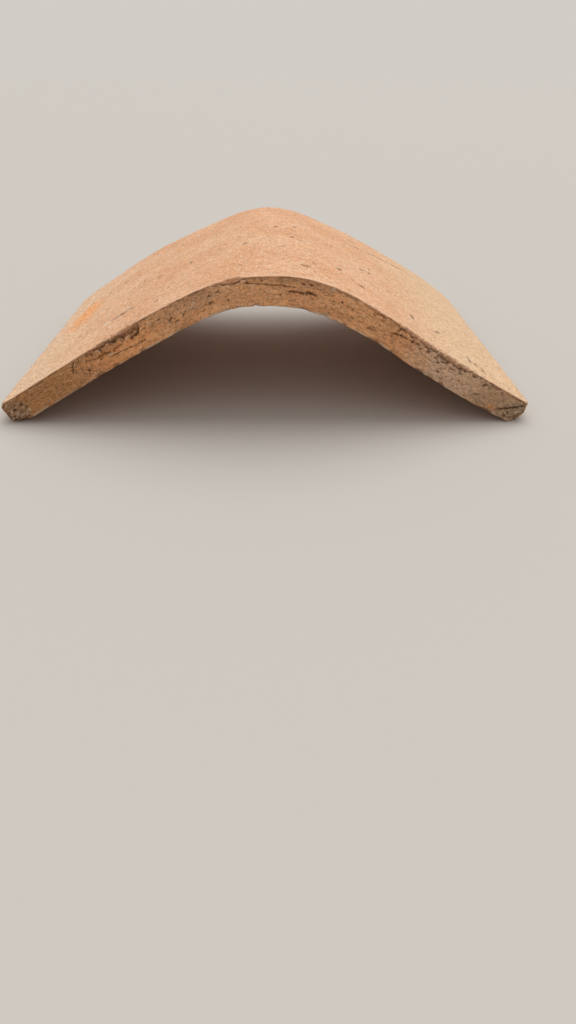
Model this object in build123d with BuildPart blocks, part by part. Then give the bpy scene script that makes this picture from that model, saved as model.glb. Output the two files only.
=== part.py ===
from build123d import *
from math import cos, radians, sin, tan
import os

# An angular ridge tile of fired clay: two flat wings that fall from a rounded crown.
#
# It is one solid. The section is a plate of even thickness, bent over a round former to the
# angle of a roof's ridge. While the clay was soft it stood on its two long edges, which left
# a narrow flat foot under each wing. The two ends are cut square across the ridge, and the
# corners and arrises are worn round.
#
# The origin is the middle of the footprint, on the floor. X runs across the tile, Y along the
# ridge with the front end at -Y, and Z up.

# Driving dimensions, in millimetres and degrees
tile_length = 305.0  # along the ridge
overall_width = 400.0  # over the two worn long edges
wall = 20.0  # thickness, square to a wing
wing_slope = 30.0  # fall of each wing below level, so the wings meet at 120
crown_radius = 133.0  # outer face of the bend
foot_width = 9.0  # flat strip that each wing stands on, before its edges are worn
heel_radius = 4.0  # soft turn from each foot into the inner face
corner_radius = 5.0  # the four corners, seen square to a wing
outer_arris_radius = 1.5  # worn edge round the whole outer face
lower_arris_radius = 1.0  # worn edge round the whole underside, feet and inner face together

# The corners of the section's right half, as (x, z). Wearing the outer corner round draws it
# in, so the square corner starts a little beyond the overall width.
slope = radians(wing_slope)
worn_off = outer_arris_radius * (sin(slope) + cos(slope) - 1)
foot_rise = foot_width * sin(slope) * cos(slope)  # height that the foot takes off the inner corner
outer_corner = (overall_width / 2 + worn_off, wall * cos(slope) - foot_rise)
inner_corner_x = outer_corner[0] - wall * sin(slope)
foot_outer = (inner_corner_x + foot_rise * tan(slope), 0.0)
foot_inner = (inner_corner_x - foot_rise / tan(slope), 0.0)
outer_ridge = (0.0, outer_corner[1] + outer_corner[0] * tan(slope))
inner_ridge = (0.0, outer_ridge[1] - wall / cos(slope))

facing = 0.7  # least upward or downward part of the normal of a face that looks up or down


def looks_up(face):
    """The outer face: its two wings and its crown."""
    return face.normal_at().Z > facing


def looks_down(face):
    """The underside: the two feet, their heels, and the inner face's wings and crown."""
    return face.normal_at().Z < -facing


def rim(faces):
    """The edges round a group of faces, without the edges between them."""
    edges = [edge for face in faces for edge in face.edges()]
    return [edge for edge in edges if sum(edge.is_same(other) for other in edges) == 1]


with BuildPart() as ridge_tile:
    # The bent plate, on its two feet
    with BuildSketch(Plane.XZ) as section:
        with BuildLine():
            Polyline(outer_ridge, outer_corner, foot_outer, foot_inner, inner_ridge)
            mirror(about=Plane.YZ)
        make_face()
        for ridge, radius in ((outer_ridge, crown_radius), (inner_ridge, crown_radius - wall)):
            fillet(section.vertices().sort_by_distance((*ridge, 0))[0], radius)
        for x in (-foot_inner[0], foot_inner[0]):
            fillet(section.vertices().sort_by_distance((x, 0, 0))[0], heel_radius)
    extrude(amount=tile_length / 2, both=True)

    # The four corners, which run square through the plate at the ends of its long edges
    across = ridge_tile.faces().sort_by(Axis.X)
    long_edges = [across[0], across[-1]]
    corners = [edge for face in long_edges for edge in face.edges().filter_by(Axis.Y, reverse=True)]
    fillet(corners, corner_radius)

    # The worn arrises: one round the outer face, and a finer one round the underside
    fillet(rim(ridge_tile.faces().filter_by(looks_up)), outer_arris_radius)
    fillet(rim(ridge_tile.faces().filter_by(looks_down)), lower_arris_radius)

ridge_tile.part.label = "ridge_tile"
os.makedirs("parts", exist_ok=True)
export_step(ridge_tile.part, "parts/ridge_tile.step")
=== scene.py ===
import math
import random

import bpy
import numpy as np
from mathutils import Matrix, Vector, noise


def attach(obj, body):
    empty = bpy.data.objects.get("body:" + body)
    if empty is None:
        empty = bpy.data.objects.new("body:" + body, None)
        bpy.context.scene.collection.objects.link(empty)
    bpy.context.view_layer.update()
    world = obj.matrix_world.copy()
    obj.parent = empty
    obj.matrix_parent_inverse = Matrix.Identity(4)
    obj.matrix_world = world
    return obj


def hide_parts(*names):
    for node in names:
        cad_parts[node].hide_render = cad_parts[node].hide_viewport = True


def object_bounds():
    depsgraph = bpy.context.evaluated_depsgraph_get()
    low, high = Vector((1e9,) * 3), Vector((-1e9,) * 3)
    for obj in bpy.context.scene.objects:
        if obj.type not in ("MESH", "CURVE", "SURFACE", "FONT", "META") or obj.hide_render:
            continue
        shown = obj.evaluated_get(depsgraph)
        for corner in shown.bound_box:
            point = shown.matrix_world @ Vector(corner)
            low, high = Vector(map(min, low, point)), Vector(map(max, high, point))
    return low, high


# A weathered ridge tile of fired clay. The tile is modelled as it was made: a flat bat of clay,
# with its broken arrises, pits and cracks, is bent over a round former into two wings and a crown.
# A point of the flat bat is (s, y, t): s across it, measured on the outer face, y along the ridge
# and t the depth below the outer face. Lengths are in metres, but in millimetres in the tables and
# in the damage that they describe.

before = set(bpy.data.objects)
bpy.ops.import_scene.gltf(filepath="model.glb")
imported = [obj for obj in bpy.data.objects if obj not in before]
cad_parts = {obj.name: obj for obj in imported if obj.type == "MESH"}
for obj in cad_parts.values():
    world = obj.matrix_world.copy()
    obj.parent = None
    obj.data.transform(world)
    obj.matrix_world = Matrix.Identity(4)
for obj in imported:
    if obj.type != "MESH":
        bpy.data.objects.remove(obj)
CAD_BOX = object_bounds()
random.seed(7)

# Driving dimensions, the same as the CAD model's
MM = 0.001
HALF_WIDTH, HALF_LENGTH, TOP = CAD_BOX[1]
WALL = 20 * MM
SLOPE = math.radians(30)
CROWN_RADIUS = 133 * MM
CORNER_RADIUS = 5 * MM
OUTER_ARRIS = 1.5 * MM
INNER_ARRIS = 1 * MM
CORE = 9 * MM  # damage bites towards a line this far in from both faces of an arris

# The flat bat: half of it is half the crown's arc and one wing. Wearing its long edges round
# draws them in, so the bat starts a little beyond the tile's width.
WORN_OFF = OUTER_ARRIS * (math.sin(SLOPE) + math.cos(SLOPE) - 1)
HALF_CROWN = CROWN_RADIUS * SLOPE
WING = (HALF_WIDTH + WORN_OFF - CROWN_RADIUS * math.sin(SLOPE)) / math.cos(SLOPE)
HALF_BAT = HALF_CROWN + WING
FRONT, BACK = -HALF_LENGTH, HALF_LENGTH
HALF_BAT_MM, FRONT_MM, BACK_MM, WALL_MM = (length / MM for length in (HALF_BAT, FRONT, BACK, WALL))

# The lattice over the bat: how far its finest parts reach from an arris, across the bat, along it
# and through it, and how far the fairly fine parts reach from both ends
FINE_ACROSS, FINE_ALONG, FINE_THROUGH = 2 * MM, 3 * MM, 2.5 * MM
NEAR_END = 12 * MM
# Steps between its points: the finest, then across, through and along the bat, and near and at
# its back end
FINE, ACROSS, THROUGH, ALONG = 0.5 * MM, 0.9 * MM, 0.75 * MM, 2 * MM
NEAR_BACK, AT_BACK = 1.2 * MM, 0.6 * MM


def graded(start, *runs):
    """Positions from start through each (end, step), evenly spaced in each run."""
    places = [np.array([start])]
    for end, step in runs:
        count = max(1, round((end - start) / step))
        places.append(np.linspace(start, end, count + 1)[1:])
        start = end
    return np.concatenate(places)


def thinned(places, step, margin):
    """Every so many of the places, but all of them within a margin of both ends."""
    inside = np.flatnonzero((places > places[0] + margin) & (places < places[-1] - margin))
    return [*range(inside[0]), *range(inside[0], inside[-1], step), *range(inside[-1], len(places))]


def cells(number, columns, rows):
    """Faces between some columns and rows of a sheet of points, each with all the points on its border."""
    faces = []
    for left, right in zip(columns, columns[1:]):
        for low, high in zip(rows, rows[1:]):
            ring = [*number[left:right, low], *number[right, low:high],
                    *number[right:left:-1, high], *number[left, high:low:-1]]
            faces.append([int(corner) for corner in ring if corner >= 0])
    return faces


def bat_lattice():
    """The flat bat's points (s, y, t) and faces: the skin of a lattice, finest at the front end."""
    s = graded(-HALF_BAT, (-HALF_BAT + FINE_ACROSS, FINE), (HALF_BAT - FINE_ACROSS, ACROSS), (HALF_BAT, FINE))
    y = graded(FRONT, (FRONT + FINE_ALONG, FINE), (FRONT + NEAR_END, ACROSS), (BACK - NEAR_END, ALONG),
               (BACK - FINE_ALONG, NEAR_BACK), (BACK, AT_BACK))
    t = graded(0, (FINE_THROUGH, FINE), (WALL - FINE_THROUGH, THROUGH), (WALL, FINE))
    all_s, all_y, all_t = (list(range(len(places))) for places in (s, y, t))
    near = int(np.searchsorted(y, FRONT + NEAR_END))
    skirt = int(np.searchsorted(y, FRONT + FINE_ALONG))
    # Away from the front end, the outer face has every second column, and the plain inner face
    # every sixth column and every third row
    outer_s, inner_s, inner_y = thinned(s, 2, 2 * MM), thinned(s, 6, 3 * MM), thinned(y, 3, 4 * MM)
    inner_y = [row for row in inner_y if row >= skirt]
    sides = (  # a side of the lattice, whether its faces turn the other way, and its zones
        (np.s_[:, :, 0], False, ((all_s, all_y[:near + 1]), (outer_s, all_y[near:]))),
        (np.s_[:, :, -1], True, ((all_s, all_y[:skirt + 1]), (inner_s, inner_y))),
        (np.s_[:, 0, :], True, ((all_s, all_t),)),
        (np.s_[:, -1, :], False, ((outer_s, all_t),)),
        (np.s_[0, :, :], False, ((all_y, all_t),)),
        (np.s_[-1, :, :], True, ((all_y, all_t),)),
    )
    skin = np.zeros((len(s), len(y), len(t)), bool)
    for side, _, zones in sides:
        for columns, rows in zones:
            skin[side][np.ix_(columns, rows)] = True
    number = np.full(skin.shape, -1)
    number[skin] = np.arange(skin.sum())
    faces, of_side = [], []
    for place, (side, flipped, zones) in enumerate(sides):
        for columns, rows in zones:
            made = cells(number[side], columns, rows)
            faces += [ring[::-1] for ring in made] if flipped else made
            of_side += [place] * len(made)
    at_s, at_y, at_t = np.nonzero(skin)
    return np.stack([s[at_s], y[at_y], t[at_t]], axis=1), faces, of_side


# Where each side of the bat lies in the map that its look is baked through: the two axes that
# run along the side, and its lowest and highest corner in the map
MAP_PLACES = (
    ((0, 1), (0.01, 0.01), (0.99, 0.57)), ((0, 1), (0.01, 0.58), (0.99, 0.83)),
    ((0, 2), (0.01, 0.84), (0.99, 0.90)), ((0, 2), (0.01, 0.91), (0.99, 0.95)),
    ((1, 2), (0.01, 0.96), (0.49, 0.99)), ((1, 2), (0.51, 0.96), (0.99, 0.99)),
)


def lay_out(mesh, points, faces, of_side):
    """Adds the map for baking, with the flat bat's six sides beside each other."""
    share = (points - points.min(axis=0)) / np.ptp(points, axis=0)
    corners = np.concatenate(faces)
    side = np.repeat(of_side, [len(ring) for ring in faces])
    places = np.empty((len(corners), 2))
    for number, (axes, low, high) in enumerate(MAP_PLACES):
        on = side == number
        places[on] = np.array(low) + share[corners[on]][:, axes] * np.subtract(high, low)
    mesh.uv_layers.new(name="OFBake").data.foreach_set("uv", places.astype("f").ravel())


def within(points, centre, radii):
    """1 at a centre, falling to 0 on an ellipsoid round it and below 0 beyond."""
    return 1 - np.sqrt((((points - np.array(centre)) / np.array(radii)) ** 2).sum(axis=1))


# How far each seed shifts the noise, how fast its octaves fade, and how much finer each one is
SEED_SHIFT, FADING, FINER = 17.3, 0.9, 2.1


def rough(points, size, seed, octaves):
    """Noise from about -1 to 1. size is its grain: one length, or one for each axis."""
    shifted = points / np.array(size) + SEED_SHIFT * seed
    return np.array([noise.fractal(place, FADING, FINER, octaves) for place in shifted])


def smooth(x, low, high):
    """0 below low, 1 above high and a smooth step between."""
    share = np.clip((x - low) / (high - low), 0, 1)
    return share * share * (3 - 2 * share)


def round_off(points):
    """The bat with its corners and arrises round, and the way out of it at each point."""
    s, y, t = points.T
    flat = np.stack([s, y], axis=1)
    core = np.stack([np.clip(s, CORNER_RADIUS - HALF_BAT, HALF_BAT - CORNER_RADIUS),
                     np.clip(y, CORNER_RADIUS + FRONT, BACK - CORNER_RADIUS)], axis=1)
    reach = flat - core
    longest = np.abs(reach).max(axis=1, keepdims=True)
    length = np.linalg.norm(reach, axis=1, keepdims=True)
    out = np.divide(reach, length, out=np.zeros_like(reach), where=length > 0)
    flat = core + out * longest
    rim = CORNER_RADIUS - longest[:, 0]

    for radius, depth, side in ((OUTER_ARRIS, t, 1), (INNER_ARRIS, WALL - t, -1)):
        past_rim, past_face = np.minimum(rim - radius, 0), np.minimum(depth - radius, 0)
        both = (past_rim < 0) & (past_face < 0)
        size = np.hypot(past_rim, past_face)
        share = np.ones_like(size)
        share[both] = np.maximum(-past_rim, -past_face)[both] / size[both]
        flat = flat + out * (past_rim * (1 - share))[:, None]
        t = t + side * past_face * (share - 1)

    # The way out leads from a smaller bat inside this one, so that deep damage never crosses itself
    s, y, depth = points.T
    inside = np.stack([np.clip(s, CORE - HALF_BAT, HALF_BAT - CORE), np.clip(y, FRONT + CORE, BACK - CORE),
                       np.clip(depth, CORE, WALL - CORE)], axis=1)
    way = points - inside
    way /= np.linalg.norm(way, axis=1, keepdims=True)
    return np.column_stack([flat, t]), way


# How far the tile's set departs from its nominal section at each end, from left tip to right
# tip, in millimetres. The stations are shares of half the bat.
WARP_STATIONS = (-1.0, -0.8, -0.6, -0.42, -0.25, -0.1, 0.0, 0.1, 0.25, 0.42, 0.6, 0.8, 1.0)
WARP_FRONT = (0.0, 0.6, 1.0, 0.7, -0.8, 0.0, 0.0, 1.1, 1.2, 1.2, -0.7, -1.0, -0.3)
WARP_BACK = (0.0, 1.6, 2.4, -0.4, -4.6, -3.0, -1.5, -2.0, -3.2, 0.8, 2.8, 3.4, 0.0)
# How much thicker the wall is than nominal at the front end. At the back end it is nominal.
THICKER_FRONT = (0.0, 0.1, 0.1, 0.6, 0.3, 0.1, 0.6, 1.4, 1.6, 0.4, 0.6, 0.9, 0.0)
THICKER_BACK = (0.0,) * len(WARP_STATIONS)


def warp(s, y, at_front, at_back):
    """A smooth curve through the front end's values, which passes to the back end's along the tile."""
    place = s / HALF_BAT
    stations = np.array(WARP_STATIONS)
    here = np.clip(np.searchsorted(stations, place) - 1, 0, len(stations) - 2)
    width = stations[here + 1] - stations[here]
    run = np.clip((place - stations[here]) / width, 0, 1)

    def curve(values):
        """A smooth curve through the stations: the cubic between each two of them."""
        rise = np.array(values)
        slope = np.gradient(rise, stations)
        return ((2 * run**3 - 3 * run**2 + 1) * rise[here] + (run**3 - 2 * run**2 + run) * width * slope[here]
                + (3 * run**2 - 2 * run**3) * rise[here + 1] + (run**3 - run**2) * width * slope[here + 1])
    back_share = (y - FRONT) / (BACK - FRONT)
    return MM * (curve(at_front) * (1 - back_share) + curve(at_back) * back_share)


def bend(points):
    """Bends the flat bat over the former, with the set that drying and firing gave it."""
    s, y, t = points.T
    angle = np.clip(s / CROWN_RADIUS, -SLOPE, SLOPE)
    run = np.clip(np.abs(s) - HALF_CROWN, 0, None)
    x = (CROWN_RADIUS - t) * np.sin(angle) + np.sign(s) * run * math.cos(SLOPE)
    z = TOP - CROWN_RADIUS + (CROWN_RADIUS - t) * np.cos(angle) - run * math.sin(SLOPE)
    set_off = warp(s, y, WARP_FRONT, WARP_BACK) - t / WALL * warp(s, y, THICKER_FRONT, THICKER_BACK)
    x += set_off * np.sin(angle)
    z += set_off * np.cos(angle)
    return np.column_stack([x, y, np.clip(z, 0, None)])


# Broken places on the front end's arrises: middle s and t, half length, reach back, reach up and
# down the end face, and depth
FRONT_CHIPS = (
    (-223, 0, 5, 7, 4, 0.8), (-222, 21, 15, 7, 8, 3.6), (-188, 0, 6, 2, 2, 0.6), (-156, 0, 3, 2.5, 3, 1.2),
    (-131, 0, 5, 3, 4.5, 1.6), (-121, 0, 5, 2, 3, 1.2), (-108, 0, 8.5, 5, 6, 2.8),
    (-92, 0, 4, 1.5, 1.5, 0.5), (-52, 0, 6, 1.5, 2, 0.6), (-24, 0.5, 9, 6, 3.6, 3.2),
    (-13, 0, 4, 2, 2, 0.8), (14, 0, 5, 1.5, 1.5, 0.5), (48, 0, 2.6, 2.6, 1.8, 0.8), (58, 0, 2.4, 2, 2, 1.0),
    (64, 0, 4, 1.6, 2, 0.8), (98, 0, 5, 2, 1.5, 0.6), (116, 0, 6, 4, 3, 2.0), (127, 0, 5, 5, 3, 2.2),
    (149, 0, 7, 4.5, 4, 2.4), (190, 0, 7, 2, 3, 0.9), (210, 0, 6, 2, 2, 0.8), (227, 18, 12, 9, 12, 3.2),
    (-76, 20, 5, 3, 1.6, 0.6), (30, 20, 6, 3, 1.5, 0.5), (95, 20, 6, 3, 1.6, 0.7),
    (134, 20, 4, 3, 2.4, 1.1), (196, 20, 6, 3, 1.8, 0.8),
)
# Pits in the front end face: middle s and t, half width, half height and depth
FRONT_PITS = (
    (-96, 6.2, 2.2, 0.9, 1.5), (-83.5, 5.5, 1.3, 0.9, 0.9), (-77.5, 10, 1.6, 1, 1.4),
    (-75, 9.4, 1.3, 0.9, 1.5), (-73, 13, 2.6, 0.8, 1.3), (-66.5, 11.2, 1.4, 0.8, 1),
    (-50, 14.5, 1.2, 0.9, 1.2), (-42.5, 6.2, 2.6, 1, 1.6), (-35, 5.2, 2.4, 0.8, 1.1),
    (-43, 11.5, 2.6, 1, 1.7), (-29, 13.5, 1.6, 0.7, 0.7), (-21, 0.8, 2.6, 1.3, 3), (-14, 3, 1.8, 0.9, 1.6),
    (1, 12.2, 1.2, 0.9, 0.8), (10.5, 12.4, 1.8, 0.7, 0.6), (27, 2.8, 2.4, 0.9, 1.6),
    (31.5, 2.4, 2.4, 0.9, 1.8), (53, 14.2, 3, 0.7, 0.8), (57, 6.8, 1.2, 0.9, 0.7),
    (66.5, 8.2, 1.4, 0.9, 0.9), (72.5, 8, 1.2, 0.8, 0.7), (68.5, 12.8, 1.3, 0.9, 0.9),
    (76.5, 13, 1.2, 0.8, 0.7), (105.5, 1.8, 1.4, 0.8, 0.9), (142, 7.5, 1.2, 1.2, 1.0),
    (145.5, 5, 2.4, 0.9, 1.2), (145.5, 13.5, 2, 1.2, 1.2), (161, 5.8, 1.3, 1, 0.9),
    (151.5, 17.2, 2.2, 0.8, 0.9), (164, 11, 2.4, 1, 0.6), (199, 3.2, 1.6, 0.7, 0.8),
    (-148, 12.4, 0.9, 2.4, 1.3), (-213, 5, 1.5, 1.1, 1), (-208, 7.5, 1.8, 1.2, 1.2),
    (-215, 9, 1.8, 1.4, 1.3), (-206, 11, 2.2, 1.2, 1.3), (-211, 13, 1.6, 1.1, 1), (-203, 8, 1.3, 1, 0.8),
)
# Cracks in the front end face: depth, width, then the points (s, t) that they run through
FRONT_CRACKS = (
    (1.5, 0.7, (-153.5, 0.5), (-157, 3), (-159.5, 7.8)),
    (2.0, 1.2, (-99.5, 3.2), (-102.5, 7), (-107.5, 7.6)),
    (0.9, 0.6, (-14, 3.4), (-6, 4.4), (4, 5.4), (14, 5.9), (21, 6.3)),
    (1.4, 0.8, (17.5, 9.5), (27.5, 9.5), (36.5, 8.5)),
    (1.1, 0.6, (29.5, 7.2), (38, 9.5)),
    (0.9, 0.6, (82.5, 14.5), (89, 13.5)),
    (1.3, 0.6, (100.5, 7.8), (108, 5.8), (118, 4.5)),
    (0.8, 0.5, (179, 14.5), (183, 12.2)),
    (1.6, 0.8, (220.5, 0.8), (213, 8.5), (206, 13), (200.5, 17)),
    (0.9, 0.6, (-132.5, 2), (-132, 7.5), (-127, 9)),
    (0.7, 0.5, (-128, 12.5), (-118, 12.5), (-110, 13.8), (-100, 14)),
    (0.6, 0.5, (-146, 5), (-138, 8), (-128, 8.5)),
)
# Pale grains and crumbs in the front end face: middle s and t, half width and half height
FRONT_GRAINS = (
    (-27.5, 2.6, 5.5, 1.3), (-16.5, 1.4, 2.6, 0.8), (-9, 5.2, 3, 0.7), (48, 0.8, 2, 1.2),
    (-55, 6.5, 1.8, 1.2), (-58, 8.5, 2.6, 0.8), (154.5, 11, 1.6, 1.2), (146, 16, 1.3, 0.9),
    (-91, 5, 1.4, 0.8), (-127, 10.5, 3, 0.8), (63, 1.5, 1.6, 0.8), (223, 7, 1.2, 5), (219.5, 14, 3, 1.3),
    (-222, 13, 1.6, 1.2), (-218, 16.5, 2.4, 1), (101, 3, 1.2, 0.8),
)
# Pits on the outer face: middle s and y, half width, half length, depth and strength of their painted shade
# and highlight
TOP_MARKS = (
    (28.5, -108, 4.5, 4, 1.2, 1), (37, -92, 3, 5, 0.6, 0.6), (26, 53, 3, 4.5, 0.6, 0.9),
    (8, 40, 2.4, 4, 0.5, 0.9), (22, -2, 2.6, 4, 0.6, 0.9), (31, -10, 5, 3, 0.5, 0.8),
    (39, -5, 5, 2, 0.4, 0.6), (13, -46, 2.4, 3.4, 0.5, 0.9), (-19, -30, 3, 3.4, 0.5, 0.9),
    (-25, 8, 2, 3.4, 0.4, 0.7), (-122, -91, 6, 3, 0.7, 0.8), (-114, -90.5, 4, 2, 0.5, 0.7),
    (-68, -25, 2.2, 4, 0.5, 0.9), (-100, -17, 2.4, 4, 0.5, 0.9), (-118, 5, 2.4, 4, 0.5, 0.8),
    (-87, -115, 2.4, 2.6, 0.6, 0.9), (58.5, -74, 3, 4, 0.7, 1), (86, -20, 2.8, 4, 0.6, 0.9),
    (94.5, -17, 2.2, 5, 0.5, 0.9), (97, 3, 2.2, 4, 0.5, 0.8), (76, -96, 2.4, 3.4, 0.5, 0.9),
    (125, -93, 2.4, 6.5, 0.6, 1), (148, -93, 2.4, 3.4, 0.5, 0.8), (152.5, -87, 2, 6.5, 0.5, 0.8),
    (174, -120, 2, 9, 0.6, 0.9), (179, -124, 2, 5, 0.5, 0.8), (185, -131, 2, 8, 0.6, 0.8),
    (-200, -130, 2.6, 3.4, 0.5, 0.8), (-50, 60, 2, 4, 0.4, 0.7), (-150, 60, 2.4, 4.4, 0.5, 0.8),
    (60, 20, 2, 3.4, 0.4, 0.7), (110, -45, 2, 4, 0.4, 0.7), (-18.5, -110, 3, 2.4, 0.4, 0.6),
    (-170, -70, 2.2, 3.4, 0.4, 0.7), (-60, -70, 2, 3.2, 0.4, 0.6), (140, 10, 2.2, 4, 0.4, 0.7),
)
# Worn or broken places elsewhere on the rim: middle s, y and t, three half lengths and depth
RIM_WEAR = (
    (-226, 154, 8, 15, 15, 22, 3.4), (226, 154, 8, 13, 13, 22, 2.8), (227, -153, 0, 9, 10, 9, 2.6),
    (225, -80, 0, 3, 4, 3, 1.5), (225, -100, 0, 2, 7, 2, 0.5), (225, -133, 0, 2, 12, 2, 0.6),
    (225, 52, 0, 3, 8, 3, 0.9), (-225, 96, 0, 4, 7, 4, 1.3), (-225, 20, 0, 3, 10, 3, 0.9),
    (-225, -60, 0, 3, 6, 3, 0.9), (-90, 153, 0, 10, 4, 3, 1.3), (40, 153, 0, 7, 3, 3, 1.1),
    (130, 153, 0, 9, 4, 3, 1.5), (-30, 153, 20, 8, 4, 3, 1.3), (90, 153, 20, 12, 4, 3, 1.2),
    (-160, 153, 12, 5, 2, 3, 0.9),
)
# Splintered stretches of the front arris: middle s, half length and depth
SPLINTERED = ((138, 48, 2.6), (-119, 24, 1.6))
# The crumbled zone under the front arris, left of the crown: its middle, half sizes and depth
CRUMBLED = ((-121, FRONT_MM, 4), (26, 3, 8), 1.6)
# Small pits scattered over the two ends, and nicks all along the arrises: how many and what sizes
SCATTERED_PITS, PIT_SIZES = 220, (0.4, 1.0)
NICKS, NICK_SIZES = 200, (0.8, 2.4)

# Noises that shape the damage: grain in millimetres, one length or one for each axis, seed and octaves
RAGGED = (3.5, 1, 4)  # the borders of all marks
SWELLS = (70, 2, 2)
SKIN = (9, 3, 3)
BEDDING = ((16, 16, 1.7), 4, 4)
CUT = (2.0, 5, 4)  # the crumbs of the cut ends
UNEVEN = (14, 6, 3)  # wear of the arrises
NIBBLES = (2.6, 7, 3)
# the noise that spots the painted highlight along the inner face's arrises
PAINTED_RIM_HIGHLIGHT = (11, 8, 3)
WANDER = (4, 9, 3)  # the cracks' course
CRUMBLES = ((5, 5, 2.4), 10, 4)
TIP_CLAY = (3, 11, 4)
TIP_HOLES = ((2.6, 2.6, 1.8), 12, 3)
TIP_GRAINS = ((2.6, 2.6, 1.5), 13, 3)
SPLINTERS = ((3.4, 3.4, 2.4), 14, 4)
# The depth that some of them reach, in millimetres
SWELL_DEPTH, SKIN_DEPTH, BEDDING_DEPTH, CUT_DEPTH, TIP_DEPTH = 0.12, 0.06, 0.3, 0.22, 0.5

# How near a point is to an end face to be on it, and to an arris to be worn with it, in millimetres
ON_END, ON_ARRIS = 0.1, 4
MARK_BACK = 2  # how far back from its face a pit, grain or mark reaches
# How deep the arrises of the outer and of the inner face are worn, and how deep they are nibbled
WEAR_DEPTH, NIBBLE_DEPTH = (0.4, 0.3), (0.6, 0.5)
# How far back from the front end and down from the outer face the splinters reach
SPLINTER_BACK, SPLINTER_DOWN = 7, 5
# The coarse clay at the tips: how far left its middle is, and the s and t where it starts and is full
TIP_LEFT, TIP_ACROSS, TIP_DOWN = 4, (203, 214), (3, 8)


def along(points, route):
    """How far each of some flat points is from a route through given points."""
    reach = np.full(len(points), np.inf)
    for start, end in zip(np.array(route), np.array(route)[1:]):
        run = end - start
        share = np.clip((points - start) @ run / (run @ run), 0, 1)
        reach = np.minimum(reach, np.linalg.norm(points - start - share[:, None] * run, axis=1))
    return reach


class Wear:
    """What wear and breakage do at each point of the flat bat: their depth, in millimetres, and looks, among
    them painted shade and painted highlights.
    """

    def __init__(self, points):
        """Whole clay at some points, given in metres."""
        self.points = points / MM
        self.s, self.y, self.t = self.points.T
        self.at_front = self.y < FRONT_MM + ON_END
        self.on_end = np.abs(self.y) > BACK_MM - ON_END
        self.ragged = self.noise(RAGGED)
        self.depth = np.zeros(len(points))
        self.looks = {look: np.zeros(len(points)) for look in ("broken", "dark", "pale")}

    def noise(self, kind):
        """One of the noises above at each point."""
        return rough(self.points, *kind)

    def mark(self, middle, reach, ragged):
        """1 at the middle of a mark, 0 at its ragged border and less beyond it."""
        return within(self.points, middle, reach) + ragged * self.ragged

    def show(self, look, share):
        """Raises one of the looks to a share, from 0 to 1, where it is lower."""
        self.looks[look] = np.maximum(self.looks[look], share)


def roughen(wear):
    """Slow swells over the whole tile, the skin's finer relief, and the rough layers of the cut ends."""
    wear.depth += SWELL_DEPTH * (1 + wear.noise(SWELLS)) + SKIN_DEPTH * (1 + wear.noise(SKIN))
    layers, crumbs = 0.9 + wear.noise(BEDDING), 0.9 + wear.noise(CUT)
    wear.depth += wear.on_end * (BEDDING_DEPTH * layers + CUT_DEPTH * crumbs)


def wear_arrises(wear):
    """Unevenly worn and nibbled arrises, broken on the outer face's side, with a painted highlight on the
    inner's.
    """
    rim = np.minimum(HALF_BAT_MM - np.abs(wear.s), BACK_MM - np.abs(wear.y))
    upper = np.clip(1 - np.hypot(rim, wear.t) / ON_ARRIS, 0, 1)
    lower = np.clip(1 - np.hypot(rim, WALL_MM - wear.t) / ON_ARRIS, 0, 1)
    worn = smooth(wear.noise(UNEVEN), -0.2, 0.9)
    nibbled = smooth(wear.noise(NIBBLES), 0.0, 0.7)
    wear.depth += ((WEAR_DEPTH[0] * upper + WEAR_DEPTH[1] * lower) * worn
                   + (NIBBLE_DEPTH[0] * upper + NIBBLE_DEPTH[1] * lower) * nibbled)
    wear.show("broken", smooth(upper, 0.3, 0.8) * nibbled * wear.on_end)
    # Pale spots along the inner face's arrises: a painted highlight where light catches them
    wear.show("pale", smooth(lower, 0.55, 0.9) * smooth(wear.noise(PAINTED_RIM_HIGHLIGHT), -0.3, 0.3))


def chip_front(wear):
    """Chips off the front end's arrises, each with broken clay inside and a pale border."""
    for middle, level, long, reach_back, down, bite in FRONT_CHIPS:
        share = wear.mark((middle, FRONT_MM, level), (long, reach_back, down), 0.3)
        wear.depth += bite * smooth(share, 0, 0.5)
        wear.show("broken", smooth(share, 0, 0.2))
        border = smooth(share, -0.12, 0.0) * smooth(share, 0.16, 0.04) * wear.at_front
        wear.show("pale", 0.8 * border * smooth(np.abs(wear.t - level), 0.5, 2))


def pit_front(wear):
    """Pits in the front end face, painted dark inside as shade and pale below as a highlight, and the pale
    grains it holds.
    """
    for middle, level, half_width, half_height, bite in FRONT_PITS:
        share = wear.mark((middle, FRONT_MM, level), (half_width, MARK_BACK, half_height), 0.6)
        wear.depth += bite * smooth(share, -0.1, 0.6)
        # Painted shade inside each pit; the pale lip below it is a painted highlight
        wear.show("dark", 0.85 * smooth(share, 0.05, 0.6))
        lip = (middle, FRONT_MM, level + 1.9 * half_height)
        share = wear.mark(lip, (1.2 * half_width, MARK_BACK / 2, 0.6 * half_height), 0.3)
        wear.show("pale", 0.5 * smooth(share, 0, 0.4))
    for middle, level, half_width, half_height in FRONT_GRAINS:
        share = wear.mark((middle, FRONT_MM, level), (half_width, MARK_BACK, half_height), 0.5)
        wear.show("pale", smooth(share, 0, 0.4))


def crack_front(wear):
    """Cracks that wander over the front end face, painted dark as the shade inside them."""
    wandered = np.stack([wear.s, wear.t + 0.4 * wear.noise(WANDER)], axis=1)
    for bite, width, *route in FRONT_CRACKS:
        share = 1 - along(wandered, route) / (width * (1 + 0.35 * wear.ragged))
        wear.depth += bite * smooth(share, -0.3, 0.7) * wear.at_front
        # The dark along each crack is painted shade
        wear.show("dark", (0.8 + 0.3 * wear.ragged) * smooth(share, -0.2, 0.6) * wear.at_front)


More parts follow.
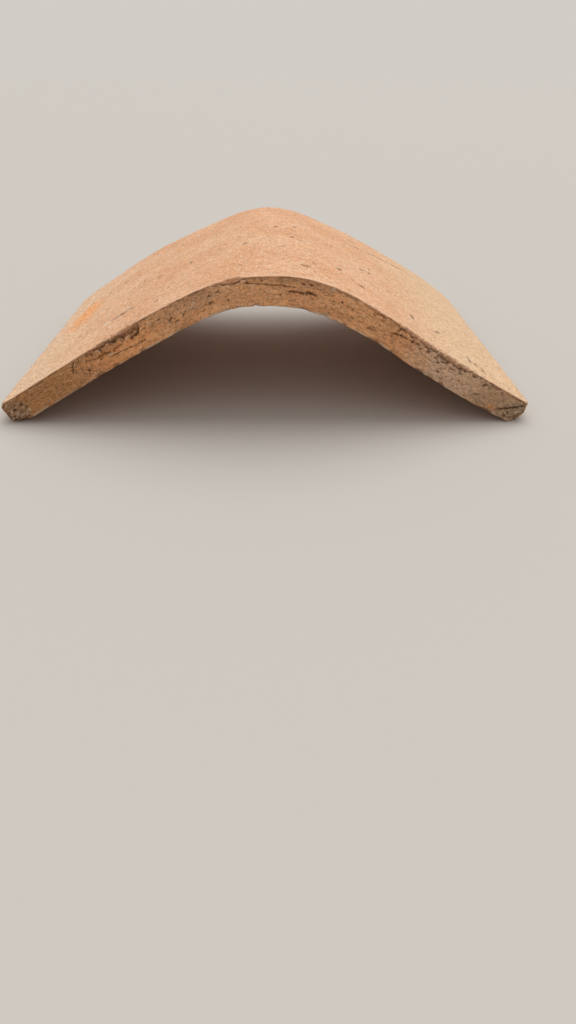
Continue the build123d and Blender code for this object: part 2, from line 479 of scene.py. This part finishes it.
def mark_outer_face(wear):
    """Pits in the outer face, painted dark inside as shade, with a painted highlight as a pale border on the
    far side.
    """
    for middle, place, half_width, half_length, bite, shade in TOP_MARKS:
        share = wear.mark((middle, place, 0), (half_width, half_length, MARK_BACK), 0.6)
        wear.depth += bite * smooth(share, 0, 0.6)
        # Painted shade inside each pit, and a painted highlight on the border behind it
        wear.show("dark", 0.8 * shade * smooth(share, -0.1, 0.5))
        border = smooth(share, -0.6, -0.25) * smooth(share, 0.0, -0.2)
        wear.show("pale", shade * border * (wear.y > place) * (wear.t < 1))


def break_rim(wear):
    """Worn and broken places on the rest of the rim."""
    for *place, long, wide, deep, bite in RIM_WEAR:
        share = wear.mark(place, (long, wide, deep), 0.2)
        wear.depth += bite * smooth(share, 0, 0.6)
        wear.show("broken", 0.7 * smooth(share, 0, 0.3))


def coarsen_tips(wear):
    """Coarse broken clay at the lower tips of both ends, a little wider on the left wing."""
    tips = smooth(np.abs(wear.s + TIP_LEFT), *TIP_ACROSS) * smooth(wear.t, *TIP_DOWN) * wear.on_end
    wear.depth += tips * (TIP_DEPTH * (0.9 + wear.noise(TIP_CLAY)))
    wear.show("dark", 0.85 * tips * smooth(wear.noise(TIP_HOLES), 0.05, 0.4))
    wear.show("pale", 0.9 * tips * smooth(wear.noise(TIP_GRAINS), 0.2, 0.45))


def splinter_arris(wear):
    """Splintered stretches of the front arris, on the right wing and above the crumbled zone."""
    splinters = 1.1 * wear.noise(SPLINTERS)
    for middle, long, bite in SPLINTERED:
        share = within(wear.points, (middle, FRONT_MM, 0), (long, SPLINTER_BACK, SPLINTER_DOWN))
        splintered = smooth(share + splinters, 0.15, 0.6)
        wear.depth += bite * splintered
        wear.show("broken", splintered)
        wear.show("dark", 0.35 * splintered)


def crumble_front(wear):
    """The crumbled zone of the front end face."""
    middle, reach, bite = CRUMBLED
    crumbled = smooth(wear.mark(middle, reach, 0.5), 0, 0.3) * smooth(wear.noise(CRUMBLES), -0.1, 0.5)
    wear.depth += bite * crumbled * wear.on_end
    wear.show("dark", 0.5 * crumbled * wear.at_front)


def scatter_pits(wear):
    """Small pits and lost grains scattered over the end faces, more of them at the front, painted dark as
    shade.
    """
    for _ in range(SCATTERED_PITS):
        place = (random.uniform(-HALF_BAT_MM, HALF_BAT_MM), random.choice((FRONT_MM, FRONT_MM, BACK_MM)),
                 random.uniform(1, WALL_MM - 1))
        size = random.uniform(*PIT_SIZES)
        share = wear.mark(place, (2 * size, MARK_BACK, size), 0.5)
        wear.depth += 0.5 * size * smooth(share, 0, 0.6)
        # The dark in each small pit is painted shade
        wear.show("dark", 0.4 * smooth(share, 0, 0.7))


def nick_arrises(wear):
    """Nicks all along the arrises, more of them on the outer face's side."""
    for _ in range(NICKS):
        run = random.uniform(-1, 1)
        edge = random.choice(("front", "back", "left", "right"))
        level = random.choice((0, 0, WALL_MM))
        s, y = {"front": (run * HALF_BAT_MM, FRONT_MM), "back": (run * HALF_BAT_MM, BACK_MM),
                "left": (-HALF_BAT_MM, run * BACK_MM), "right": (HALF_BAT_MM, run * BACK_MM)}[edge]
        size = random.uniform(*NICK_SIZES)
        share = wear.mark((s, y, level), (1.4 * size, 1.4 * size, size), 0.3)
        wear.depth += 0.45 * size * smooth(share, 0, 0.5)
        wear.show("broken", 0.8 * smooth(share, 0, 0.3))


def damage(points):
    """How deep wear and breakage go in at each point, and where they show broken, dark or pale clay, the dark
    partly painted shade and the pale partly painted highlight.
    """
    wear = Wear(points)
    for cause in (roughen, wear_arrises, chip_front, pit_front, crack_front, mark_outer_face, break_rim,
                  coarsen_tips, splinter_arris, crumble_front, scatter_pits, nick_arrises):
        cause(wear)
    return wear.depth * MM, wear.looks


def make_tile():
    """The tile's mesh, with what its material reads at each point."""
    points, faces, of_side = bat_lattice()
    bat, way = round_off(points)
    depth, looks = damage(points)
    places = bend(bat - way * depth[:, None])
    mesh = bpy.data.meshes.new("clay_ridge_tile")
    mesh.from_pydata(places.tolist(), [], faces)
    mesh.polygons.foreach_set("use_smooth", [True] * len(faces))
    flat = mesh.attributes.new("flat", "FLOAT_VECTOR", "POINT")
    flat.data.foreach_set("vector", points.astype("f").ravel())
    for name, values in looks.items():
        look = mesh.attributes.new(name, "FLOAT", "POINT")
        look.data.foreach_set("value", values.astype("f"))
    lay_out(mesh, points, faces, of_side)
    mesh.validate()
    tile = bpy.data.objects.new("clay_ridge_tile", mesh)
    bpy.context.scene.collection.objects.link(tile)
    return tile


# Colours as on screen, 0 to 255. Each face's clay is a mixture of two.
OUTER_CLAY = ((230, 173, 130), (238, 187, 146))
END_CLAY = ((206, 145, 98), (234, 172, 122))
END_MOTTLE = (236, 164, 110)
INNER_CLAY = ((188, 134, 98), (206, 154, 116))
SCRATCHED = (118, 78, 56)
DUST = (244, 198, 162)
PALE_SAND, DARK_SAND = (255, 236, 212), (132, 84, 58)
END_PALE_GRAINS, END_DARK_GRAINS = (250, 212, 178), (100, 66, 44)
INNER_PALE_GRAINS = (238, 204, 172)
FRESH_BREAK = (168, 118, 82)
# The pale look: pale grains and chip borders, and painted highlights on pit lips and the inner face's arrises
PALE_GRAINS_AND_PAINTED_HIGHLIGHT = (240, 206, 174)
# The dark look: dark clay, and painted shade in pits and cracks
DARK_CLAY_AND_PAINTED_SHADE = (78, 42, 22)

# Mottling of the outer face: grain, where in the noise it starts and is full, strength and colour
OUTER_MOTTLES = (
    (16, 0.5, 0.72, 0.4, (222, 154, 112)),
    (24, 0.52, 0.7, 0.35, (243, 202, 168)),
)
# The outer face's paler sides: s where they start and are full, strength and colour
OUTER_SIDES = (
    (85, 180, 0.7, (234, 200, 160)),
    (-120, -215, 0.7, (240, 202, 165)),
)
# Patches on the outer face: middle s and y, half width and half length, raggedness, strength and
# colour. The first two are the orange patch, then come a smudge and two spots of lime.
OUTER_PATCHES = (
    (-187, 16, 24, 60, 0.5, 0.7, (248, 173, 112)),
    (-188, 26, 14, 36, 0.6, 0.7, (252, 168, 98)),
    (-123, -90, 14, 7, 0.9, 0.7, (172, 132, 108)),
    (-137, -93, 5, 6, 0.5, 0.75, (240, 218, 190)),
    (72, -51, 2.4, 3.4, 0.5, 0.8, (246, 226, 200)),
)
# The ends' browner left part and greyer right parts: s where they start and are full, strength
# and colour
END_SIDES = (
    (-110, -180, 0.8, (174, 122, 76)),
    (108, 145, 0.8, (212, 176, 146)),
    (160, 195, 0.7, (172, 134, 98)),
)
# Patches on the front end face: middle s and t, half width and half height, strength and colour
END_PATCHES = (
    (-58, 5, 34, 9, 0.4, (190, 150, 118)),
    (-12, 12, 38, 14, 0.5, (238, 176, 126)),
    (24, 1, 46, 6, 0.5, (176, 130, 94)),
    (-118, 13, 34, 11, 0.5, (232, 156, 96)),
    (-216, 11, 15, 13, 0.75, (150, 120, 92)),
    (220, 11, 17, 14, 0.7, (160, 134, 112)),
    (197, 16, 6, 2, 0.6, (220, 140, 82)),
)
PATCH_THROUGH, PATCH_BACK = 40, 60  # how far the patches reach into the clay from their faces

# The scratch on the right wing: the slope and the y at the crown of its two runs, how round it turns
# between them, how far it wavers, where its line ends and is full on both sides, and s where it
# begins and fades
SCRATCH_RUNS = ((0.547, 36.2 * MM), (-0.2, 146 * MM))
SCRATCH_TURN, SCRATCH_WAVER = 15 * MM, 3 * MM
SCRATCH_LINE = (1.5 * MM, 0.6 * MM)
SCRATCH_BEGINS, SCRATCH_FADES = (78 * MM, 90 * MM), (190 * MM, 140 * MM)
DUST_BAND = (FRONT + 9 * MM, FRONT + 4 * MM)  # y where the dust beside the front arris ends and is full
LEFT_WING = (-90 * MM, -150 * MM)  # s where the sand gets thicker and is thickest

# Grain sizes of the clay
COARSE_SAND, FINE_SAND, PALE_SIZE, DARK_SIZE = 2.0 * MM, 1.0 * MM, 1.2 * MM, 1.4 * MM
CRUMB, LUMP, END_SAND, END_PALE_SIZE, END_DARK_SIZE = 1.7 * MM, 3.2 * MM, 0.8 * MM, 1.1 * MM, 1.3 * MM
INNER_SAND, INNER_PALE_SIZE = 1.3 * MM, 1.5 * MM
# Height of the fine relief: the skin's fine and broad noise and its sand, and the ends' crumbs and lumps
FINE_RISE, BROAD_RISE, SAND_RISE, CRUMB_RISE, LUMP_RISE = 0.3 * MM, 0.3 * MM, 0.1 * MM, 1.8 * MM, 2.2 * MM


def node(tree, kind, inputs=(), output=0, **settings):
    """Adds a node, fills its inputs with values or links, and gives one output."""
    made = tree.nodes.new("ShaderNode" + kind)
    for name, value in settings.items():
        setattr(made, name, value)
    for key, value in dict(inputs).items():
        if isinstance(value, bpy.types.NodeSocket):
            tree.links.new(value, made.inputs[key])
        else:
            made.inputs[key].default_value = value
    return made.outputs[output]


def colour(red, green, blue):
    """A colour given as on screen, 0 to 255, in the linear values that nodes take."""
    return [((part / 255 + 0.055) / 1.055) ** 2.4 for part in (red, green, blue)] + [1]


class Clay:
    """A clay material's node tree, whose nodes read a point's place (s, y, t) on the flat bat."""

    def __init__(self, tree):
        """Adds the nodes that several parts of the material share."""
        self.tree = tree
        self.flat = self.node("Attribute", attribute_name="flat", output="Vector")
        self.s, self.y, self.t = self.node("SeparateXYZ", {0: self.flat}).node.outputs
        self.coarse_sand = self.sand(COARSE_SAND)
        self.layered, self.stretched = self.scaled(1, 1, 5), self.scaled(1, 1, 1.7)
        # Noises for the ends' crumbs and lumps, read both by their relief and by the painted shade in its low
        # places
        self.crumb = self.grain(CRUMB, 3, 0.7, self.stretched)
        self.lumps = self.grain(LUMP, 4, 0.7, self.stretched)

    def node(self, kind, inputs=(), output=0, **settings):
        """Adds a node to this tree."""
        return node(self.tree, kind, inputs, output, **settings)

    def maths(self, kind, first, second=0.0):
        """What a Math node makes of two values."""
        return self.node("Math", {0: first, 1: second}, operation=kind)

    def times(self, first, second):
        """One value times another."""
        return self.maths("MULTIPLY", first, second)

    def total(self, first, *others):
        """The sum of some values."""
        for other in others:
            first = self.maths("ADD", first, other)
        return first

    def swing(self, value, amount):
        """A value from 0 to 1 as a swing about 0, times an amount."""
        return self.times(self.maths("SUBTRACT", value, 0.5), amount)

    def step(self, value, low, high):
        """0 below low, 1 above high, smooth between. low may be above high."""
        return self.node("MapRange", {"Value": value, "From Min": low, "From Max": high},
                         interpolation_type="SMOOTHSTEP")

    def scaled(self, *factors):
        """The place on the bat with each axis scaled, for noise that is finer along some."""
        return self.node("VectorMath", {0: self.flat, 1: factors}, operation="MULTIPLY")

    def grain(self, size, detail=2, roughness=0.5, place=None):
        """Noise, mostly between 0.3 and 0.7, of a grain size in metres."""
        return self.node("TexNoise", {"Vector": self.flat if place is None else place, "Scale": 1 / size,
                                      "Detail": detail, "Roughness": roughness}, output="Fac")

    def sand(self, size, place=None):
        """Grains of a size in metres, each with its own even value from 0 to 1."""
        cell = self.node("TexVoronoi", {"Vector": self.flat if place is None else place, "Scale": 1 / size},
                         output="Color")
        return self.node("SeparateColor", {0: cell}, output="Red")

    def look(self, name):
        """One of the mesh's looks, with the crumbly edge that its points are too far apart for."""
        found = self.node("Attribute", attribute_name=name, output="Fac")
        crumbly = self.swing(self.grain(1.5 * MM, 3, 0.7), 1.8)
        return self.step(self.total(found, self.times(crumbly, self.step(found, 0, 0.3))), 0.05, 0.9)

    def patch(self, middle, radii, ragged=0.5):
        """1 in the middle of a ragged soft-edged patch, given in millimetres, and 0 outside it."""
        centre, shrink = [place * MM for place in middle], [1 / (radius * MM) for radius in radii]
        shifted = self.node("VectorMath", {0: self.flat, 1: centre}, operation="SUBTRACT")
        shrunk = self.node("VectorMath", {0: shifted, 1: shrink}, operation="MULTIPLY")
        far = self.node("VectorMath", {0: shrunk}, operation="LENGTH", output="Value")
        border = self.swing(self.grain(min(radii[:2]) * 0.6 * MM, 3, 0.6), 2 * ragged)
        return self.step(self.total(far, border), 1.05, 0.4)

    def blend(self, share, under, over, kind="MIX"):
        """A colour with a share, from 0 to 1, of another over it."""
        return self.node("Mix", {0: share, 6: under, 7: over}, output=2, data_type="RGBA", blend_type=kind)

    def mottled(self, pattern, clays):
        """A mixture of two colours of clay by a noise."""
        low, high = (colour(*clay) for clay in clays)
        return self.blend(self.step(pattern, 0.35, 0.65), low, high)

    def tinted(self, base, share, amount, tint):
        """A colour with a tint over it: as much as the amount, where the share is 1."""
        return self.blend(self.times(share, amount), base, colour(*tint))

    def shaded(self, base, shade):
        """A colour made lighter or darker by a value about 1."""
        return self.blend(1.0, base, shade, "MULTIPLY")


def scratch(clay):
    """The scratch on the right wing: it climbs towards the back end and then runs along it."""
    climbing, level = (clay.total(clay.times(clay.s, slope), y) for slope, y in SCRATCH_RUNS)
    course = clay.node("Math", {0: climbing, 1: level, 2: SCRATCH_TURN}, operation="SMOOTH_MIN")
    course = clay.total(course, clay.swing(clay.grain(20 * MM), SCRATCH_WAVER))
    line = clay.step(clay.maths("ABSOLUTE", clay.maths("SUBTRACT", clay.y, course)), *SCRATCH_LINE)
    begins, fades = clay.step(clay.s, *SCRATCH_BEGINS), clay.step(clay.s, *SCRATCH_FADES)
    return clay.times(line, clay.times(begins, fades))


def outer_face(clay):
    """Pinkish buff clay, creamier towards both sides, with patches, a scratch and sand."""
    face = clay.mottled(clay.grain(60 * MM, 3), OUTER_CLAY)
    for size, low, high, amount, tint in OUTER_MOTTLES:
        face = clay.tinted(face, clay.step(clay.grain(size * MM, 4, 0.65), low, high), amount, tint)
    for low, high, amount, tint in OUTER_SIDES:
        face = clay.tinted(face, clay.step(clay.s, low * MM, high * MM), amount, tint)
    for s, y, half_width, half_length, ragged, amount, tint in OUTER_PATCHES:
        patch = clay.patch((s, y, 0), (half_width, half_length, PATCH_THROUGH), ragged)
        face = clay.tinted(face, patch, amount, tint)
    face = clay.tinted(face, scratch(clay), 0.85, SCRATCHED)
    dusty = clay.step(clay.y, *DUST_BAND)
    face = clay.tinted(face, dusty, 0.5, DUST)

    # Sand: dark and pale grains, thickest on the left wing and thin beside the front arris
    quiet = clay.maths("SUBTRACT", 1.0, clay.times(dusty, 0.6))
    on_left = clay.step(clay.s, *LEFT_WING)
    gritty = clay.times(quiet, clay.node("MapRange", {"Value": on_left, "To Min": 1.0, "To Max": 1.3}))
    mixed = clay.total(clay.swing(clay.coarse_sand, 0.1), clay.swing(clay.sand(FINE_SAND), 0.32),
                       clay.swing(clay.grain(9 * MM, 5, 0.7), 0.4))
    face = clay.shaded(face, clay.total(clay.times(mixed, gritty), 0.975))
    pale = clay.times(clay.step(clay.sand(PALE_SIZE), 0.93, 0.95), gritty)
    face = clay.tinted(face, pale, 0.65, PALE_SAND)
    dark = clay.times(clay.step(clay.sand(DARK_SIZE), 0.06, 0.04), quiet)
    return clay.tinted(face, dark, 0.5, DARK_SAND)


def end_faces(clay):
    """Browner clay with patches, layers along its bedding, crumbs painted darker where they lie low as shade,
    and pale and dark grains.
    """
    face = clay.mottled(clay.grain(30 * MM, 4, 0.6, clay.layered), END_CLAY)
    face = clay.tinted(face, clay.step(clay.grain(11 * MM, 3, 0.6), 0.5, 0.65), 0.25, END_MOTTLE)
    wavy = clay.total(clay.s, clay.swing(clay.grain(14 * MM, 4, 0.65), 60 * MM))
    for low, high, amount, tint in END_SIDES:
        face = clay.tinted(face, clay.step(wavy, low * MM, high * MM), amount, tint)
    for s, t, half_width, half_height, amount, tint in END_PATCHES:
        patch = clay.patch((s, FRONT_MM, t), (half_width, PATCH_BACK, half_height))
        face = clay.tinted(face, patch, amount, tint)
    layers = clay.grain(6 * MM, 4, 0.65, clay.layered)
    crumbs = clay.total(clay.swing(clay.crumb, 2.0), clay.swing(clay.sand(END_SAND), 0.34),
                        clay.swing(layers, 0.9), clay.swing(clay.lumps, 0.9))
    # The crumbs and lumps also raise the ends' fine relief, so this darkens the clay where that relief lies
    # low: painted shade, with the sand and layers as the clay's own grain
    face = clay.shaded(face, clay.total(crumbs, 1.25))
    pale = clay.step(clay.sand(END_PALE_SIZE, clay.stretched), 0.95, 0.97)
    face = clay.tinted(face, pale, 0.5, END_PALE_GRAINS)
    dark = clay.step(clay.sand(END_DARK_SIZE, clay.stretched), 0.05, 0.03)
    return clay.tinted(face, dark, 0.4, END_DARK_GRAINS)


def inner_face(clay):
    """Paler clay than the ends', smooth from the former, with lines drawn along the ridge."""
    face = clay.mottled(clay.grain(45 * MM, 3, 0.6), INNER_CLAY)
    drawn = clay.grain(18 * MM, 4, 0.6, clay.scaled(6, 1, 1))
    lines = clay.total(clay.swing(clay.sand(INNER_SAND), 0.4), clay.swing(drawn, 0.5))
    face = clay.shaded(face, clay.total(lines, 1.0))
    pale = clay.step(clay.sand(INNER_PALE_SIZE), 0.95, 0.97)
    return clay.tinted(face, pale, 0.5, INNER_PALE_GRAINS)


def fine_relief(clay, end_share):
    """The relief that is too fine for the mesh, as the height that a Bump node takes."""
    fine, broad = clay.grain(1.1 * MM, 2, 0.6), clay.grain(3.4 * MM, 3, 0.6)
    skin = clay.total(clay.times(fine, FINE_RISE), clay.times(broad, BROAD_RISE),
                      clay.times(clay.coarse_sand, SAND_RISE))
    cut = clay.total(clay.times(clay.crumb, CRUMB_RISE), clay.times(clay.lumps, LUMP_RISE))
    return clay.total(skin, clay.times(end_share, cut))


def clay_material():
    """Unglazed clay with a sandy outer face, rough cut ends, chips, pits and patches, and painted shade and
    highlights at pits and cracks.
    """
    material = bpy.data.materials.new("fired_clay")
    material.use_nodes = True
    tree = material.node_tree
    clay = Clay(tree)
    outer, ends, inner = outer_face(clay), end_faces(clay), inner_face(clay)

    # Where each face's clay shows. The long edges show the same clay as the ends.
    end_share = clay.step(clay.maths("ABSOLUTE", clay.y), HALF_LENGTH - 0.9 * MM, HALF_LENGTH - 0.3 * MM)
    inner_share = clay.step(clay.t, WALL - 2 * MM, WALL - 0.5 * MM)
    side_share = clay.step(clay.t, 0.3 * MM, 1.4 * MM)
    whole = clay.blend(side_share, outer, clay.blend(inner_share, ends, inner))
    whole = clay.blend(end_share, whole, ends)
    fresh = clay.blend(0.75, ends, colour(*FRESH_BREAK))
    whole = clay.blend(clay.times(clay.look("broken"), 0.7), whole, fresh)
    # Pale grains and painted highlights, then dark clay and painted shade
    whole = clay.tinted(whole, clay.look("pale"), 0.7, PALE_GRAINS_AND_PAINTED_HIGHLIGHT)
    whole = clay.tinted(whole, clay.look("dark"), 0.8, DARK_CLAY_AND_PAINTED_SHADE)

    shader = tree.nodes["Principled BSDF"]
    shader.inputs["Roughness"].default_value = 0.92
    shader.inputs["Specular IOR Level"].default_value = 0.25
    tree.links.new(whole, shader.inputs["Base Color"])
    height = fine_relief(clay, end_share)
    bump = clay.node("Bump", {"Height": height, "Distance": 1.0, "Strength": 1.0}, output="Normal")
    tree.links.new(bump, shader.inputs["Normal"])
    return material


def plain_material(name, shade):
    """A matt, even surface."""
    material = bpy.data.materials.new(name)
    material.use_nodes = True
    shader = material.node_tree.nodes["Principled BSDF"]
    shader.inputs["Base Color"].default_value = shade
    shader.inputs["Roughness"].default_value = 0.95
    return material


FLOOR_SHADE = colour(206, 200, 192)
FAR_SHADE = colour(209, 204, 198)
WHITE = (1, 1, 1, 1)
SKY_LIGHT = 0.55
SUN_LIGHT = 1.55
SUN_SPREAD = math.radians(60)
SUN_COURSE = (-0.15, -0.42, -1)
FLOOR_REACH = 30


def make_floor():
    """A pale floor that reaches far beyond the tile."""
    mesh = bpy.data.meshes.new("floor")
    corners = [(x * FLOOR_REACH, y * FLOOR_REACH, 0) for x, y in ((-1, -1), (1, -1), (1, 1), (-1, 1))]
    mesh.from_pydata(corners, [], [(0, 1, 2, 3)])
    floor = bpy.data.objects.new("floor", mesh)
    mesh.materials.append(plain_material("floor_paint", FLOOR_SHADE))
    bpy.context.scene.collection.objects.link(floor)


def make_sun():
    """Soft light from above and behind."""
    lamp = bpy.data.lights.new("soft_sun", "SUN")
    lamp.energy, lamp.angle = SUN_LIGHT, SUN_SPREAD
    sun = bpy.data.objects.new("soft_sun", lamp)
    sun.rotation_euler = Vector(SUN_COURSE).to_track_quat("-Z", "Y").to_euler()
    bpy.context.scene.collection.objects.link(sun)


def make_sky():
    """A white sky that lights the tile, and that the camera sees in the floor's far shade."""
    world = bpy.data.worlds.new("studio")
    world.use_nodes = True
    tree = world.node_tree
    background = tree.nodes["Background"]
    seen = node(tree, "LightPath", output="Is Camera Ray")
    shade = node(tree, "Mix", {0: seen, 6: WHITE, 7: FAR_SHADE}, output=2, data_type="RGBA")
    light = node(tree, "Mix", {0: seen, 2: SKY_LIGHT, 3: 1.0})
    tree.links.new(shade, background.inputs["Color"])
    tree.links.new(light, background.inputs["Strength"])
    bpy.context.scene.world = world


# The photograph's camera: its place, the way that it looks, its right-hand side, and its lens
EYE = Vector((0.0028, -0.6497, 0.2264))
LOOK = Vector((0.0228, 0.8515, -0.5238))
RIGHT = Vector((0.9997, -0.0226, 0.0068))
LENS, SENSOR = 25.11, 36  # millimetres, along the picture's long side
NEAREST, FARTHEST = 0.01, 100


def make_camera():
    """The photograph's viewpoint."""
    look = LOOK.normalized()
    right = (RIGHT - look * RIGHT.dot(look)).normalized()
    up = right.cross(look)
    data = bpy.data.cameras.new("camera")
    data.sensor_fit, data.sensor_width, data.lens = "AUTO", SENSOR, LENS
    data.clip_start, data.clip_end = NEAREST, FARTHEST
    camera = bpy.data.objects.new("camera", data)
    camera.matrix_world = Matrix.Translation(EYE) @ Matrix((right, up, -look)).transposed().to_4x4()
    bpy.context.scene.collection.objects.link(camera)
    bpy.context.scene.camera = camera


tile = make_tile()
tile.data.materials.append(clay_material())
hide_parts("ridge_tile")
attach(tile, "root")
make_floor()
make_sun()
make_sky()
make_camera()
bpy.context.scene.view_settings.view_transform = "Standard"
